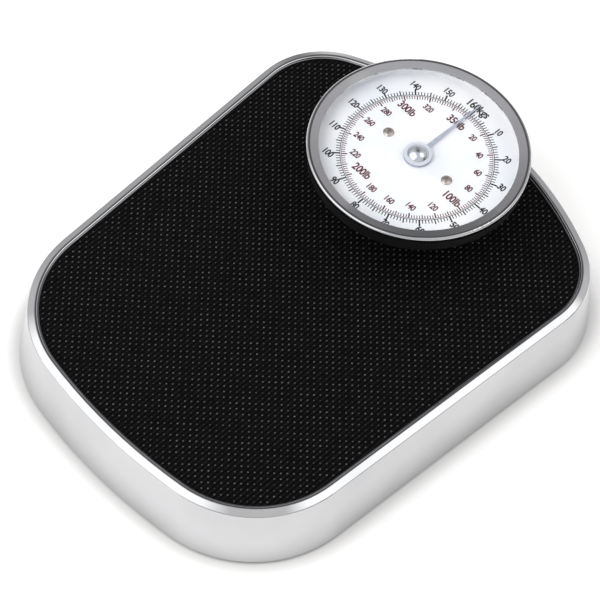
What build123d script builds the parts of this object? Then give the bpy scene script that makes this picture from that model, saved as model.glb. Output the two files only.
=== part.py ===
from build123d import *
import os
from math import atan2, cos, degrees, pi, radians, sin, sqrt

os.makedirs("parts", exist_ok=True)

# Millimetres. +Z is up, +Y runs to the dial end, the origin is on the floor under the middle.

# Platform outline, taken at the edge of the mat
mat_length = 387.0
mat_mean_width = 286.0
side_spread = 13.1
front_end_radius = 448.0
rear_end_radius = 264.0
front_corner_radius = 80.2
rear_corner_radius = 56.0

# Platform cover, one pressed sheet: rolled rim, well for the mat, flared skirt
sheet = 1.2
rim_width = 8.2
rim_rise = 1.4
rim_ledge = 0.8
rim_inner_radius = 1.3
rim_slope_width = 4.9
rim_slope_fall = 2.3
rim_crest_radius = 1.6
rim_outer_radius = 1.1
skirt_height = 54.0
skirt_clearance = 4.0
skirt_flare = 8.5
mat_thickness = 2.6
mat_side_gap = 0.15
mat_edge_radius = 0.6

# Base pan and feet
foot_height = 5.0
foot_radius = 14.0
foot_top_radius = 12.0
foot_stem_radius = 4.0
foot_head_radius = 6.0
foot_head_height = 1.6
foot_front_side_inset = 63.0
foot_front_inset = 31.5
foot_rear_side_inset = 21.0
foot_rear_inset = 99.5
pan_margin = 7.0
pan_wall_height = 18.0
pan_lip = 3.0
pan_bottom_radius = 5.0
rib_width = 10.0
rib_rise = 2.5
rib_side_inset = 77.0
rib_foot_gap = 60.0
seat_gap = 0.3

# Dial head
dial_inset = 82.5
dial_rise = 54.6
bezel_face_radius = 75.0
bezel_band = 9.2
bezel_crest = 1.6
bezel_crest_inset = 2.9
bezel_crest_round = 1.0
bezel_lip = 1.1
bezel_skirt = 3.2
shell_wall = 2.0
shell_depth = 14.3
shell_floor = 2.2
shell_seat_depth = 0.2
shell_edge_radius = 2.4
face_depth = 11.9
dial_thickness = 1.0
dial_hole_gap = 2.5
lens_thickness = 2.0
lens_dome = 2.6
lens_seat = 0.1
head_gap = 0.1
spacer_width = 1.8

# Hub, pointer and dial screws
hub_radius = 10.7
hub_collar_height = 1.3
hub_lift = 0.6
hub_step_height = 1.0
hub_dome_radius = 7.9
hub_dome_height = 3.9
pointer_length = 70.0
pointer_root_width = 3.6
pointer_tip_width = 0.7
pointer_tail = 9.0
pointer_thickness = 0.8
screw_x = 30.0
screw_head_radius = 4.2
screw_head_height = 1.9
screw_rim_height = 0.6
screw_slot_reach = 2.6
screw_slot_turn = 20
screw_shank_radius = 1.5
screw_slot_width = 1.0
screw_slot_depth = 0.8
screw_post_radius = 4.5
screw_grip = 5.0

# Neck that carries the head through the platform
neck_radius = 42.0
neck_wall = 2.2
neck_top_radius = 46.0
neck_flare_start = 30.0
neck_joint_drop = 8.5
neck_flange_radius = 52.0
neck_flange_height = 2.2
neck_flange_blend = 3.0
neck_hole_gap = 3.5
neck_window_side = 3.0
neck_window_over = 4.0
ledge_width = 3.3
ledge_height = 3.0

# Levers: the platform sinks by platform_travel and every lever turns by lever_turn
platform_travel = 2.4
load_arm = 48.0
lever_thickness = 3.0
lever_depth = 10.0
lever_over_knife = 4.0
lever_tail = 7.0
lever_tip_depth = 7.0
knife_radius = 2.5
knife_overhang = 2.0
knife_gap = 0.3
fulcrum_height = 23.8
load_knife_lift = 3.0
long_knife_side_inset = 48.0
long_knife_inset = 45.5
short_knife_side_inset = 30.0
short_knife_inset = 65.5
nose_x = 12.0
nose_reach = 2.4
nose_bar = 6.0
tongue_width = 14.0
tongue_depth = 6.0
tongue_past_hanger = 5.0
toe_length = 9.0
toe_knife_radius = 2.0
toe_lift = 0.3
toe_depth = 6.5

# Yokes: brackets on the pan and saddles under the platform
yoke_slot = 10.0
yoke_cheek = 2.5
yoke_length = 12.0
yoke_rise = 3.6
yoke_foot = 26.0
yoke_foot_length = 16.0
yoke_foot_thickness = 2.0

# Spring hanger and the two main springs
hanger_set_forward = 22.5
hanger_thickness = 2.0
hanger_half_width = 23.0
hanger_window_side = 2.0
hanger_window_over = 6.0
hanger_sill = 4.0
hanger_height = 27.0
hook_hole_radius = 2.4
hook_edge = 2.3
bridge_thickness = 2.5
bridge_half_length = 31.0
bridge_depth = 10.0
bridge_lug_width = 11.0
bridge_lug_inset = 4.5
bridge_lug_floor = 2.5
bridge_slot_gap = 0.1
bridge_drop = 4.5
spring_x = 17.0
spring_wire = 2.0
spring_radius = 5.6
spring_turns = 6
spring_ring_radius = 4.0
hook_wrap = 270
hook_gap = 0.5
hook_stretch_gap = 0.9

# Mechanism plate, rack, pinion and bell crank
plate_height = 49.0
plate_thickness = 2.0
plate_gap = 0.3
plate_front_cut = 12.5
pinion_teeth = 12
pinion_radius = 3.0
tooth_share = 0.40
tooth_height = 0.5
tooth_root = 0.75
tooth_slope = 20.0
pinion_thickness = 3.0
pinion_lift = 3.4
shaft_radius = 1.5
shaft_gap = 0.08
rack_lift = 4.0
rack_thickness = 1.8
rack_width = 6.6
rack_slot_width = 2.4
rack_spare = 3.0
stud_radius = 0.9
stud_spacing = 14.0
stud_head_radius = 1.9
stud_head_height = 0.8
tab_thickness = 2.0
tab_length = 8.0
tab_height = 7.0
crank_arm = 20.0
crank_thickness = 3.0
crank_hub_radius = 5.0
crank_bar = 5.5
crank_offset = 13.5
crank_pin_radius = 1.2
crank_pin_gap = 0.35
crank_pin_drop = 3.4
crank_fork_reach = 3.0
crank_side_gap = 0.7
crank_axle_radius = 2.0
pickup_offset = 4.6
pickup_length = 6.4
pickup_ear = 2.0

# Zero knob on the rear of the neck
knob_radius = 10.5
knob_width = 9.0
knob_flutes = 24
knob_flute_radius = 0.9
knob_gap = 0.5
knob_edge = 0.9
knob_bore_depth = 4.5
knob_rise = 15.0
spindle_radius = 3.0
spindle_gap = 0.1
spindle_collar_radius = 6.0
spindle_collar_width = 3.0
spindle_reach = 6.0

# Places on the plan that follow from the sizes
half_length = mat_length / 2
half_width = mat_mean_width / 2
dial_y = half_length - dial_inset
hanger_y = dial_y - hanger_set_forward
foot_front_x = half_width - foot_front_side_inset
foot_front_y = foot_front_inset - half_length
foot_rear_x = half_width - foot_rear_side_inset
foot_rear_y = half_length - foot_rear_inset
rib_x = half_width - rib_side_inset
rib_front_y = foot_front_y + rib_foot_gap
rib_rear_y = foot_rear_y - rib_foot_gap
long_fulcrum_x = half_width - long_knife_side_inset
long_fulcrum_y = long_knife_inset - half_length
short_fulcrum_x = half_width - short_knife_side_inset
short_fulcrum_y = half_length - short_knife_inset
bezel_radius = bezel_face_radius + bezel_band
bezel_crest_radius = bezel_radius - bezel_crest_inset

# Heights that follow from the sizes
mat_top = skirt_clearance + skirt_height
well_floor = mat_top - mat_thickness
platform_under = well_floor - sheet
rim_top = mat_top + rim_rise
skirt_rise = rim_top - skirt_clearance
flare_angle = degrees(atan2(skirt_flare, skirt_rise))
pan_floor = foot_height + sheet
pan_top = pan_floor + pan_wall_height
bezel_z = mat_top + dial_rise
face_z = bezel_z - face_depth
bezel_seat = bezel_z - bezel_lip
lens_top = bezel_seat - lens_seat
lens_under = lens_top - lens_thickness
shell_base = bezel_z - shell_depth
neck_top = shell_base - neck_joint_drop
neck_inner = neck_radius - neck_wall
fulcrum_z = pan_floor + fulcrum_height
load_z = fulcrum_z + load_knife_lift
lever_top = fulcrum_z + lever_over_knife
lever_turn = platform_travel / load_arm
hanger_drop = (hanger_y - long_fulcrum_y) * lever_turn
plate_z = pan_floor + plate_height
plate_top = plate_z + plate_thickness
rack_z = plate_top + rack_lift
bridge_z = neck_top - bridge_drop


def save(name, shape):
    """Write one named piece."""
    export_step(shape, f"parts/{name}.step")
    return shape


def at(x, y, z):
    return Pos(x, y, z)


def block(x0, x1, y0, y1, z0, z1):
    """A box between two corners."""
    middle = ((x0 + x1) / 2, (y0 + y1) / 2, (z0 + z1) / 2)
    return Pos(*middle) * Box(x1 - x0, y1 - y0, z1 - z0)


def disc(radius, z0, z1, x=0.0, y=0.0):
    """An upright cylinder between two heights."""
    return Pos(x, y, (z0 + z1) / 2) * Cylinder(radius, z1 - z0)


def rod_x(radius, x0, x1, y, z):
    """A cylinder along X."""
    return Pos((x0 + x1) / 2, y, z) * Rot(0, 90, 0) * Cylinder(radius, x1 - x0)


def rod_y(radius, y0, y1, x, z):
    """A cylinder along Y."""
    return Pos(x, (y0 + y1) / 2, z) * Rot(90, 0, 0) * Cylinder(radius, y1 - y0)


def turned(profile, x=0.0, y=0.0):
    """A solid of revolution from radius and height pairs, about an upright axis."""
    section = Plane.XZ * make_face(Polyline(*profile, close=True))
    return Pos(x, y, 0) * revolve(section, Axis.Z)


# Outline of the platform
def side_x(y):
    return half_width + side_spread * y / half_length


def end_corner(end_y, bow_radius):
    """Where the side line meets the arc of one end."""
    way = 1 if end_y > 0 else -1
    centre = end_y - way * bow_radius
    slope = side_spread / half_length
    a = 1 + slope**2
    b = 2 * (slope * half_width - centre)
    c = half_width**2 + centre**2 - bow_radius**2
    y = (-b + way * sqrt(b**2 - 4 * a * c)) / (2 * a)
    return side_x(y), y


def mat_face():
    """The mat's outline: straight spreading sides, bowed ends, round corners."""
    rear_x, rear_y = end_corner(half_length, rear_end_radius)
    front_x, front_y = end_corner(-half_length, front_end_radius)
    right = Line((front_x, front_y), (rear_x, rear_y))
    rear = ThreePointArc((rear_x, rear_y), (0, half_length), (-rear_x, rear_y))
    left = Line((-rear_x, rear_y), (-front_x, front_y))
    front = ThreePointArc((-front_x, front_y), (0, -half_length), (front_x, front_y))
    face = make_face(Curve() + [right, rear, left, front])
    face = fillet(face.vertices().filter_by(lambda v: v.Y < 0), front_corner_radius)
    return fillet(face.vertices().filter_by(lambda v: v.Y > 0), rear_corner_radius)


outline_face = mat_face()


def outline(grow, z):
    """The platform outline, grown evenly and set at a height."""
    face = offset(outline_face, amount=grow) if grow else outline_face
    return Pos(0, 0, z) * face


def prism(grow, z0, z1, taper=0.0):
    return extrude(outline(grow, z0), amount=z1 - z0, taper=taper)


# Platform cover
neck_hole = disc(neck_radius + neck_hole_gap, skirt_clearance, rim_top + sheet, 0, dial_y)
skirt_reach = rim_width + skirt_flare


def pressed_form(inset):
    """The cover's outer form, or the hollow one sheet under it: flared skirt, rim sloping outwards."""
    form = prism(skirt_reach - inset, skirt_clearance, rim_top - inset, flare_angle)
    top = form.faces().sort_by(Axis.Z)[-1]
    form = chamfer(top.edges(), rim_slope_width, rim_slope_fall, reference=top)
    slope_edges = form.faces().sort_by(Axis.Z)[-1].edges()
    form = fillet(slope_edges, rim_crest_radius)
    fold_z = rim_top - inset - rim_slope_fall
    fold = form.edges().filter_by(lambda e: abs(e.center().Z - fold_z) < rim_slope_fall / 4)
    return fillet(fold, rim_outer_radius)


cover = pressed_form(0)
hollow = pressed_form(sheet) - prism(rim_ledge + sheet, platform_under, rim_top)
cover -= hollow
cover -= prism(0, well_floor, mat_top)
cover -= prism(rim_ledge, mat_top, rim_top)
inner_edge = cover.faces().filter_by(Plane.XY).sort_by(Axis.Z)[-1].inner_wires()[0].edges()
cover = fillet(inner_edge, rim_inner_radius)
cover -= neck_hole
save("platform_cover", cover)

# Rubber mat, level with the ledge inside the rim
mat = prism(-mat_side_gap, well_floor, mat_top)
mat = fillet(mat.faces().sort_by(Axis.Z)[-1].edges(), mat_edge_radius)
mat -= neck_hole
save("platform_mat", mat)

# Base pan: pressed tray with a turned-out lip and two stiffening ribs
pan = prism(pan_margin, foot_height, pan_top)
pan = fillet(pan.faces().sort_by(Axis.Z)[0].edges(), pan_bottom_radius)
pan += prism(pan_margin + pan_lip, pan_top - sheet, pan_top)
pan_hollow = prism(pan_margin - sheet, pan_floor, pan_top)
pan_hollow = fillet(pan_hollow.faces().sort_by(Axis.Z)[0].edges(), pan_bottom_radius - sheet)
pan -= pan_hollow


def rib(side, grow, z0, z1):
    """A round-ended raised rib along the pan, grown evenly."""
    length = rib_rear_y - rib_front_y
    shape = SlotOverall(length + 2 * grow, rib_width + 2 * grow)
    place = Pos(side * rib_x, (rib_front_y + rib_rear_y) / 2, z0) * Rot(0, 0, 90)
    return extrude(place * shape, amount=z1 - z0)


for side in (-1, 1):
    pan += rib(side, 0, foot_height, pan_floor + rib_rise)
    pan -= rib(side, -sheet, foot_height, pan_floor + rib_rise - sheet)
foot_places = {
    "front_left": (-foot_front_x, foot_front_y),
    "front_right": (foot_front_x, foot_front_y),
    "rear_left": (-foot_rear_x, foot_rear_y),
    "rear_right": (foot_rear_x, foot_rear_y),
}
for x, y in foot_places.values():
    pan -= disc(foot_stem_radius + shaft_gap, foot_height, pan_floor, x, y)
save("base_pan", pan)

# Rubber feet, each pushed through the pan and held by its head
foot_section = [
    (0, 0),
    (foot_radius, 0),
    (foot_radius, foot_height / 2),
    (foot_top_radius, foot_height),
    (foot_stem_radius, foot_height),
    (foot_stem_radius, pan_floor),
    (foot_head_radius, pan_floor),
    (foot_stem_radius, pan_floor + foot_head_height),
    (0, pan_floor + foot_head_height),
]
for name, (x, y) in foot_places.items():
    save(f"foot_{name}", turned(foot_section, x, y))


# Yokes that hold the knife rods
def cheeks(z0, z1, knife_z, open_up):
    """Two cheeks with a round-bottomed notch that opens up or down."""
    out = yoke_slot / 2 + yoke_cheek
    half = yoke_length / 2
    part = block(-out, out, -half, half, z0, z1)
    part -= block(-yoke_slot / 2, yoke_slot / 2, -half, half, z0, z1)
    notch = knife_radius + knife_gap
    end = z1 if open_up else z0
    low, high = min(knife_z, end), max(knife_z, end)
    part -= block(-out, out, -notch, notch, low, high)
    return part - rod_x(notch, -out, out, 0, knife_z)


def bracket():
    """A knife bracket standing on the pan."""
    top = fulcrum_z + yoke_rise
    part = cheeks(pan_floor, top, fulcrum_z, True)
    half_x, half_y = yoke_foot / 2, yoke_foot_length / 2
    return part + block(-half_x, half_x, -half_y, half_y, pan_floor, pan_floor + yoke_foot_thickness)


def saddle():
    """A knife saddle hanging from the platform."""
    low = load_z - yoke_rise
    part = cheeks(low, platform_under, load_z, False)
    half_x, half_y = yoke_foot / 2, yoke_foot_length / 2
    foot_low = platform_under - yoke_foot_thickness
    return part + block(-half_x, half_x, -half_y, half_y, foot_low, platform_under)


# Lever routes, seen from above
long_heading = Vector(nose_x - long_fulcrum_x, dial_y - neck_radius - nose_reach - long_fulcrum_y)
long_run = long_heading.length
long_heading = long_heading.normalized()
nose_y = dial_y - neck_radius - nose_reach
toe_y = (long_fulcrum_y + short_fulcrum_y) / 2
toe_x = long_fulcrum_x + (toe_y - long_fulcrum_y) * long_heading.X / long_heading.Y
short_heading = Vector(toe_x - short_fulcrum_x, toe_y - short_fulcrum_y)
short_run = short_heading.length
short_heading = short_heading.normalized()


def long_x(y):
    return long_fulcrum_x + (y - long_fulcrum_y) * long_heading.X / long_heading.Y


def short_x(y):
    return short_fulcrum_x + (y - short_fulcrum_y) * short_heading.X / short_heading.Y


def blade(x, y, heading, profile):
    """A lever blade: a side profile of run and height pairs, along a heading."""
    across = (heading.Y, -heading.X, 0)
    side_on = Plane(origin=(x, y, 0), x_dir=(heading.X, heading.Y, 0), z_dir=across)
    face = side_on * make_face(Polyline(*profile, close=True))
    return extrude(face, amount=lever_thickness / 2, both=True)


def knife(x, y, z):
    half = yoke_slot / 2 + yoke_cheek + knife_overhang
    return rod_x(knife_radius, x - half, x + half, y, z)


lever_low = lever_top - lever_depth
tip_low = lever_top - lever_tip_depth
long_load_y = long_fulcrum_y + load_arm
short_load_y = short_fulcrum_y - load_arm
long_profile = [
    (-lever_tail, lever_top - knife_radius),
    (-lever_tail, lever_low),
    (load_arm, lever_low),
    (long_run, tip_low),
    (long_run, lever_top),
    (0, lever_top),
]

# Long lever: two arms meet in a nose bar and a tongue that pulls the hanger down
tongue_top = lever_top - (lever_tip_depth - tongue_depth) / 2
tongue_low = tongue_top - tongue_depth
tongue_end = hanger_y + tongue_past_hanger
long_arm = blade(long_fulcrum_x, long_fulcrum_y, long_heading, long_profile)
long_arm += knife(long_fulcrum_x, long_fulcrum_y, fulcrum_z)
long_arm += knife(long_x(long_load_y), long_load_y, load_z)
long_lever = long_arm + mirror(long_arm, Plane.YZ)
nose_half = nose_x + lever_thickness
long_lever += block(-nose_half, nose_half, nose_y - nose_bar, nose_y, tip_low, lever_top)
tongue_half, tongue_start = tongue_width / 2, nose_y - nose_bar
long_lever += block(-tongue_half, tongue_half, tongue_start, tongue_end, tongue_low, tongue_top)
save("long_lever", long_lever)

# Short levers: each rests its toe knife on an arm of the long lever
toe_start = short_run - toe_length
short_profile = [
    (-lever_tail, lever_top - knife_radius),
    (-lever_tail, lever_low),
    (load_arm, lever_low),
    (toe_start - toe_length, tip_low),
    (toe_start, lever_top + toe_lift),
    (short_run + toe_knife_radius, lever_top + toe_lift + toe_knife_radius),
    (short_run + toe_knife_radius, lever_top + toe_lift + toe_depth),
    (toe_start - toe_length, lever_top),
    (0, lever_top),
]
short_arm = blade(short_fulcrum_x, short_fulcrum_y, short_heading, short_profile)
short_arm += knife(short_fulcrum_x, short_fulcrum_y, fulcrum_z)
short_arm += knife(short_x(short_load_y), short_load_y, load_z)
toe_knife_z = lever_top + toe_lift + toe_knife_radius
toe_half = lever_thickness + knife_overhang
short_arm += rod_x(toe_knife_radius, toe_x - toe_half, toe_x + toe_half, toe_y, toe_knife_z)
save("short_lever_right", short_arm)
save("short_lever_left", mirror(short_arm, Plane.YZ))

bracket_places = {
    "front_left": (-long_fulcrum_x, long_fulcrum_y),
    "front_right": (long_fulcrum_x, long_fulcrum_y),
    "rear_left": (-short_fulcrum_x, short_fulcrum_y),
    "rear_right": (short_fulcrum_x, short_fulcrum_y),
}
for name, (x, y) in bracket_places.items():
    save(f"bracket_{name}", at(x, y, 0) * bracket())
saddle_places = {
    "front_left": (-long_x(long_load_y), long_load_y),
    "front_right": (long_x(long_load_y), long_load_y),
    "rear_left": (-short_x(short_load_y), short_load_y),
    "rear_right": (short_x(short_load_y), short_load_y),
}
for name, (x, y) in saddle_places.items():
    save(f"saddle_{name}", at(x, y, 0) * saddle())

# Neck: flanged column with a window for the tongue and a ledge for the mechanism plate
neck_outer = [
    (neck_flange_radius, pan_floor),
    (neck_flange_radius, pan_floor + neck_flange_height),
    (neck_radius + neck_flange_blend, pan_floor + neck_flange_height),
    (neck_radius, pan_floor + neck_flange_height + neck_flange_blend),
    (neck_radius, neck_top - neck_flare_start),
    (neck_top_radius, neck_top),
]
neck_inside = [
    (neck_top_radius - neck_wall, neck_top),
    (neck_inner, neck_top - neck_flare_start),
    (neck_inner, plate_z),
    (neck_inner - ledge_width, plate_z),
    (neck_inner - ledge_width, plate_z - ledge_height / 2),
    (neck_inner, plate_z - ledge_height - ledge_width),
    (neck_inner, pan_floor),
]
neck_core = turned([(0, pan_floor)] + neck_outer + [(0, neck_top)], 0, dial_y)
neck = turned(neck_outer + neck_inside, 0, dial_y)
window_half = tongue_width / 2 + neck_window_side
window_low = pan_floor + neck_flange_height + neck_flange_blend
window_high = tongue_top + neck_window_over
neck -= block(-window_half, window_half, dial_y - neck_flange_radius, dial_y, window_low, window_high)
bridge_low = bridge_z - bridge_depth
lug_inside = bridge_half_length - bridge_lug_inset
lug_low = bridge_low - bridge_lug_floor
for side in (-1, 1):
    x0, x1 = sorted((side * lug_inside, side * neck_top_radius))
    lug = block(x0, x1, hanger_y - bridge_lug_width / 2, hanger_y + bridge_lug_width / 2, lug_low, bridge_z)
    neck += lug & neck_core
slot_half = bridge_thickness / 2 + bridge_slot_gap
slot_reach = bridge_half_length + bridge_slot_gap
neck -= block(-slot_reach, slot_reach, hanger_y - slot_half, hanger_y + slot_half, bridge_low, bridge_z)
knob_z = mat_top + knob_rise
spindle_hole = spindle_radius + spindle_gap
neck -= rod_y(spindle_hole, dial_y, dial_y + neck_top_radius + knob_gap, 0, knob_z)
save("neck", neck)

# Head shell: black drum on the neck, with a stepped seat for the dial and the lens
shell_outer = bezel_radius - bezel_lip
shell_inner = shell_outer - shell_wall
shell_top = bezel_seat - lens_seat
dial_under = face_z - dial_thickness
seat_inner = shell_inner - shell_wall - spacer_width
shell_axis_hole = shaft_radius + shaft_gap
shell_section = [
    (shell_axis_hole, neck_top),
    (neck_top_radius, neck_top),
    (shell_outer, shell_base),
    (shell_outer, shell_top),
    (shell_inner, shell_top),
    (shell_inner, dial_under),
    (seat_inner, dial_under),
    (seat_inner, shell_base + shell_seat_depth),
    (neck_top_radius, neck_top + shell_floor),
    (shell_axis_hole, neck_top + shell_floor),
]
shell = turned(shell_section, 0, dial_y)
shell_corner = shell.edges().filter_by(GeomType.CIRCLE).group_by(SortBy.LENGTH)[-1].sort_by(Axis.Z)[0]
shell = fillet(shell_corner, shell_edge_radius)
for side in (-1, 1):
    shell += disc(screw_post_radius, neck_top + shell_floor / 2, dial_under, side * screw_x, dial_y)
    shell -= disc(screw_shank_radius + shaft_gap, dial_under - screw_grip, dial_under, side * screw_x, dial_y)
save("head_shell", shell)

# Printed dial plate
dial_hole = shaft_radius + dial_hole_gap
dial_radius = shell_inner - head_gap
dial = disc(dial_radius, dial_under, face_z, 0, dial_y)
dial -= disc(dial_hole, dial_under, face_z, 0, dial_y)
for side in (-1, 1):
    dial -= disc(screw_shank_radius + shaft_gap, dial_under, face_z, side * screw_x, dial_y)
save("dial_plate", dial)


def domed(radius, low, rim, rise):
    """Half section of a disc whose top domes up from its rim."""
    base = Polyline((0, low), (radius, low), (radius, rim))
    curve = dome_radius(radius, rise)
    half_way = rim + sqrt(curve**2 - (radius / 2) ** 2) - (curve - rise)
    top = ThreePointArc((radius, rim), (radius / 2, half_way), (0, rim + rise))
    return Plane.XZ * make_face(Curve() + [base, top, Line((0, rim + rise), (0, low))])


def dome_radius(base, rise):
    return (base**2 + rise**2) / (2 * rise)


def dial_screw(side):
    """A domed cross-head screw through the dial plate."""
    rim = face_z + screw_rim_height
    head = revolve(domed(screw_head_radius, face_z, rim, screw_head_height - screw_rim_height), Axis.Z)
    head += disc(screw_shank_radius, dial_under - screw_grip + head_gap, face_z)
    top = face_z + screw_head_height
    for turn in (0, 90):
        slot = Box(2 * screw_slot_reach, screw_slot_width, 2 * screw_slot_depth)
        head -= at(0, 0, top) * Rot(0, 0, turn + screw_slot_turn) * slot
    return at(side * screw_x, dial_y, 0) * head


save("dial_screw_left", dial_screw(-1))
save("dial_screw_right", dial_screw(1))

# Spacer ring between the dial and the lens
spacer = disc(dial_radius, face_z, lens_under, 0, dial_y)
spacer -= disc(dial_radius - spacer_width, face_z, lens_under, 0, dial_y)
save("spacer_ring", spacer)

# Domed clear lens
lens_rim = shell_inner - head_gap
lens_curve = dome_radius(bezel_face_radius, lens_dome)
lens_mid = bezel_face_radius / 2
lens_mid_rise = sqrt(lens_curve**2 - lens_mid**2) - (lens_curve - lens_dome)


def lens_arc(base):
    """The dome's half section, from the axis out to the bezel's opening."""
    top, middle = base + lens_dome, base + lens_mid_rise
    return ThreePointArc((0, top), (lens_mid, middle), (bezel_face_radius, base))


lens_edge = Polyline(
    (bezel_face_radius, lens_top),
    (lens_rim, lens_top),
    (lens_rim, lens_under),
    (bezel_face_radius, lens_under),
)
lens_axis = Line((0, lens_under + lens_dome), (0, lens_top + lens_dome))
lens_face = make_face(Curve() + [lens_arc(lens_top), lens_edge, lens_arc(lens_under), lens_axis])
lens = at(0, dial_y, 0) * revolve(Plane.XZ * lens_face, Axis.Z)
save("lens", lens)

# Chrome bezel: rolled crest, flange over the lens and the shell's edge, short outer skirt
bezel_top = bezel_z + bezel_crest
skirt_low = bezel_z - bezel_skirt
bezel_section = [
    (bezel_face_radius, bezel_seat),
    (bezel_face_radius, bezel_z),
    (bezel_crest_radius, bezel_top),
    (bezel_radius, bezel_top),
    (bezel_radius, skirt_low),
    (shell_outer + head_gap, skirt_low),
    (shell_outer + head_gap, bezel_seat),
]
bezel = turned(bezel_section, 0, dial_y)
crest = bezel.faces().filter_by(Plane.XY).sort_by(Axis.Z)[-1].edges().sort_by(SortBy.LENGTH)
bezel = fillet(crest[-1], bezel_crest)
crest = bezel.faces().filter_by(Plane.XY).sort_by(Axis.Z)[-1].edges().sort_by(SortBy.LENGTH)
bezel = fillet(crest[0], bezel_crest_round)
save("bezel", bezel)

# Mechanism plate on the ledge of the neck
plate_radius = neck_inner - plate_gap
plate = disc(plate_radius, plate_z, plate_top, 0, dial_y)
plate_front = dial_y - plate_front_cut
plate &= block(-plate_radius, plate_radius, plate_front, dial_y + plate_radius, plate_z, plate_top)
plate -= disc(shaft_radius + shaft_gap, plate_z, plate_top, 0, dial_y)
rack_travel = 2 * pi * pinion_radius
crank_turn = hanger_drop / crank_arm
crank_rise = rack_travel / crank_turn
crank_pin_z = rack_z + rack_thickness + crank_pin_drop
crank_z = crank_pin_z - crank_rise
pickup_y = hanger_y + hanger_thickness / 2 + pickup_offset
crank_y = pickup_y + crank_arm * cos(crank_turn / 2)
crank_sweep = crank_rise * sin(crank_turn / 2)
crank_low_x = crank_offset - crank_thickness / 2
crank_high_x = crank_offset + crank_thickness / 2
slot_side = crank_side_gap
slot_y0 = crank_y - crank_sweep - crank_bar
slot_y1 = crank_y + crank_sweep + crank_bar
plate -= block(crank_low_x - slot_side, crank_high_x + slot_side, slot_y0, slot_y1, plate_z, plate_top)
tooth_pitch = 2 * pi * pinion_radius / pinion_teeth
rack_left = pinion_radius + tooth_root
rack_right = rack_left + rack_width
stud_x = rack_left + rack_width / 2
stud_front = dial_y - stud_spacing / 2
stud_rear = dial_y + stud_spacing / 2
stud_top = rack_z + rack_thickness + seat_gap
for y in (stud_front, stud_rear):
    plate += disc(stud_head_radius, plate_top, rack_z - seat_gap, stud_x, y)
    plate += disc(stud_radius, plate_z, stud_top, stud_x, y)
    plate += disc(stud_head_radius, stud_top, stud_top + stud_head_height, stud_x, y)
save("mechanism_plate", plate)


# Pinion and rack teeth
def tooth(height, root, width, slope):
    """Half-width at the root and at the tip of one straight-sided tooth."""
    lean = sin(radians(slope)) / cos(radians(slope))
    return width / 2 + root * lean, width / 2 - height * lean


tooth_width = tooth_pitch * tooth_share
root_half, tip_half = tooth(tooth_height, tooth_root, tooth_width, tooth_slope)
pinion_z = plate_top + pinion_lift
pinion_top = pinion_z + pinion_thickness
pinion = disc(pinion_radius - tooth_root, pinion_z, pinion_top)
inner = sqrt((pinion_radius - tooth_root) ** 2 - root_half**2)
tip = pinion_radius + tooth_height
points = [(inner - tooth_root, root_half), (inner - tooth_root, -root_half), (inner, -root_half)]
points += [(tip, -tip_half), (tip, tip_half), (inner, root_half)]
gear_tooth = extrude(at(0, 0, pinion_z) * make_face(Polyline(*points, close=True)), amount=pinion_thickness)
for count in range(pinion_teeth):
    turn = 360 * count / pinion_teeth + 180 / pinion_teeth
    pinion += Rot(0, 0, turn) * gear_tooth
shaft_low = plate_z - shaft_radius
collar_low = face_z + hub_lift
pointer_low = collar_low + hub_collar_height
pointer_top = pointer_low + pointer_thickness
shaft = at(0, dial_y, 0) * (pinion + disc(shaft_radius, shaft_low, pointer_top))
save("pinion_shaft", shaft)

# Toothed rack with a guide slot and a slotted tab for the crank pin
rack_front = stud_front - rack_spare - stud_radius
rack_rear = stud_rear + rack_travel + rack_spare + stud_radius
rack = block(rack_left, rack_right, rack_front, rack_rear, rack_z, rack_z + rack_thickness)
slot_front = stud_front - rack_slot_width / 2
slot_rear = stud_rear + rack_travel + rack_slot_width / 2
slot_x0, slot_x1 = stud_x - rack_slot_width / 2, stud_x + rack_slot_width / 2
rack -= block(slot_x0, slot_x1, slot_front, slot_rear, rack_z, rack_z + rack_thickness)
first = round((rack_front - dial_y) / tooth_pitch) + 1
last = round((dial_y + rack_travel - rack_front) / tooth_pitch) + first
for count in range(first, last):
    y = dial_y + count * tooth_pitch
    root_x, tip_x = rack_left, pinion_radius - tooth_height
    points = [(root_x + tooth_root, y - root_half), (root_x, y - root_half), (tip_x, y - tip_half)]
    points += [(tip_x, y + tip_half), (root_x, y + root_half), (root_x + tooth_root, y + root_half)]
    rack += extrude(at(0, 0, rack_z) * make_face(Polyline(*points, close=True)), amount=rack_thickness)
tab_y = crank_y + crank_sweep
tab_x1 = crank_low_x - crank_side_gap
tab_x0 = tab_x1 - tab_thickness
pin_slot = crank_pin_radius + crank_pin_gap
tab = block(tab_x0, tab_x1, tab_y - tab_length / 2, tab_y + tab_length / 2, rack_z, rack_z + tab_height)
rack += tab
pin_low = crank_pin_z - crank_rise * (1 - cos(crank_turn / 2))
rack -= block(tab_x0, tab_x1, tab_y - pin_slot, tab_y + pin_slot, pin_low - pin_slot, crank_pin_z + pin_slot)
save("rack", rack)

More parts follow.
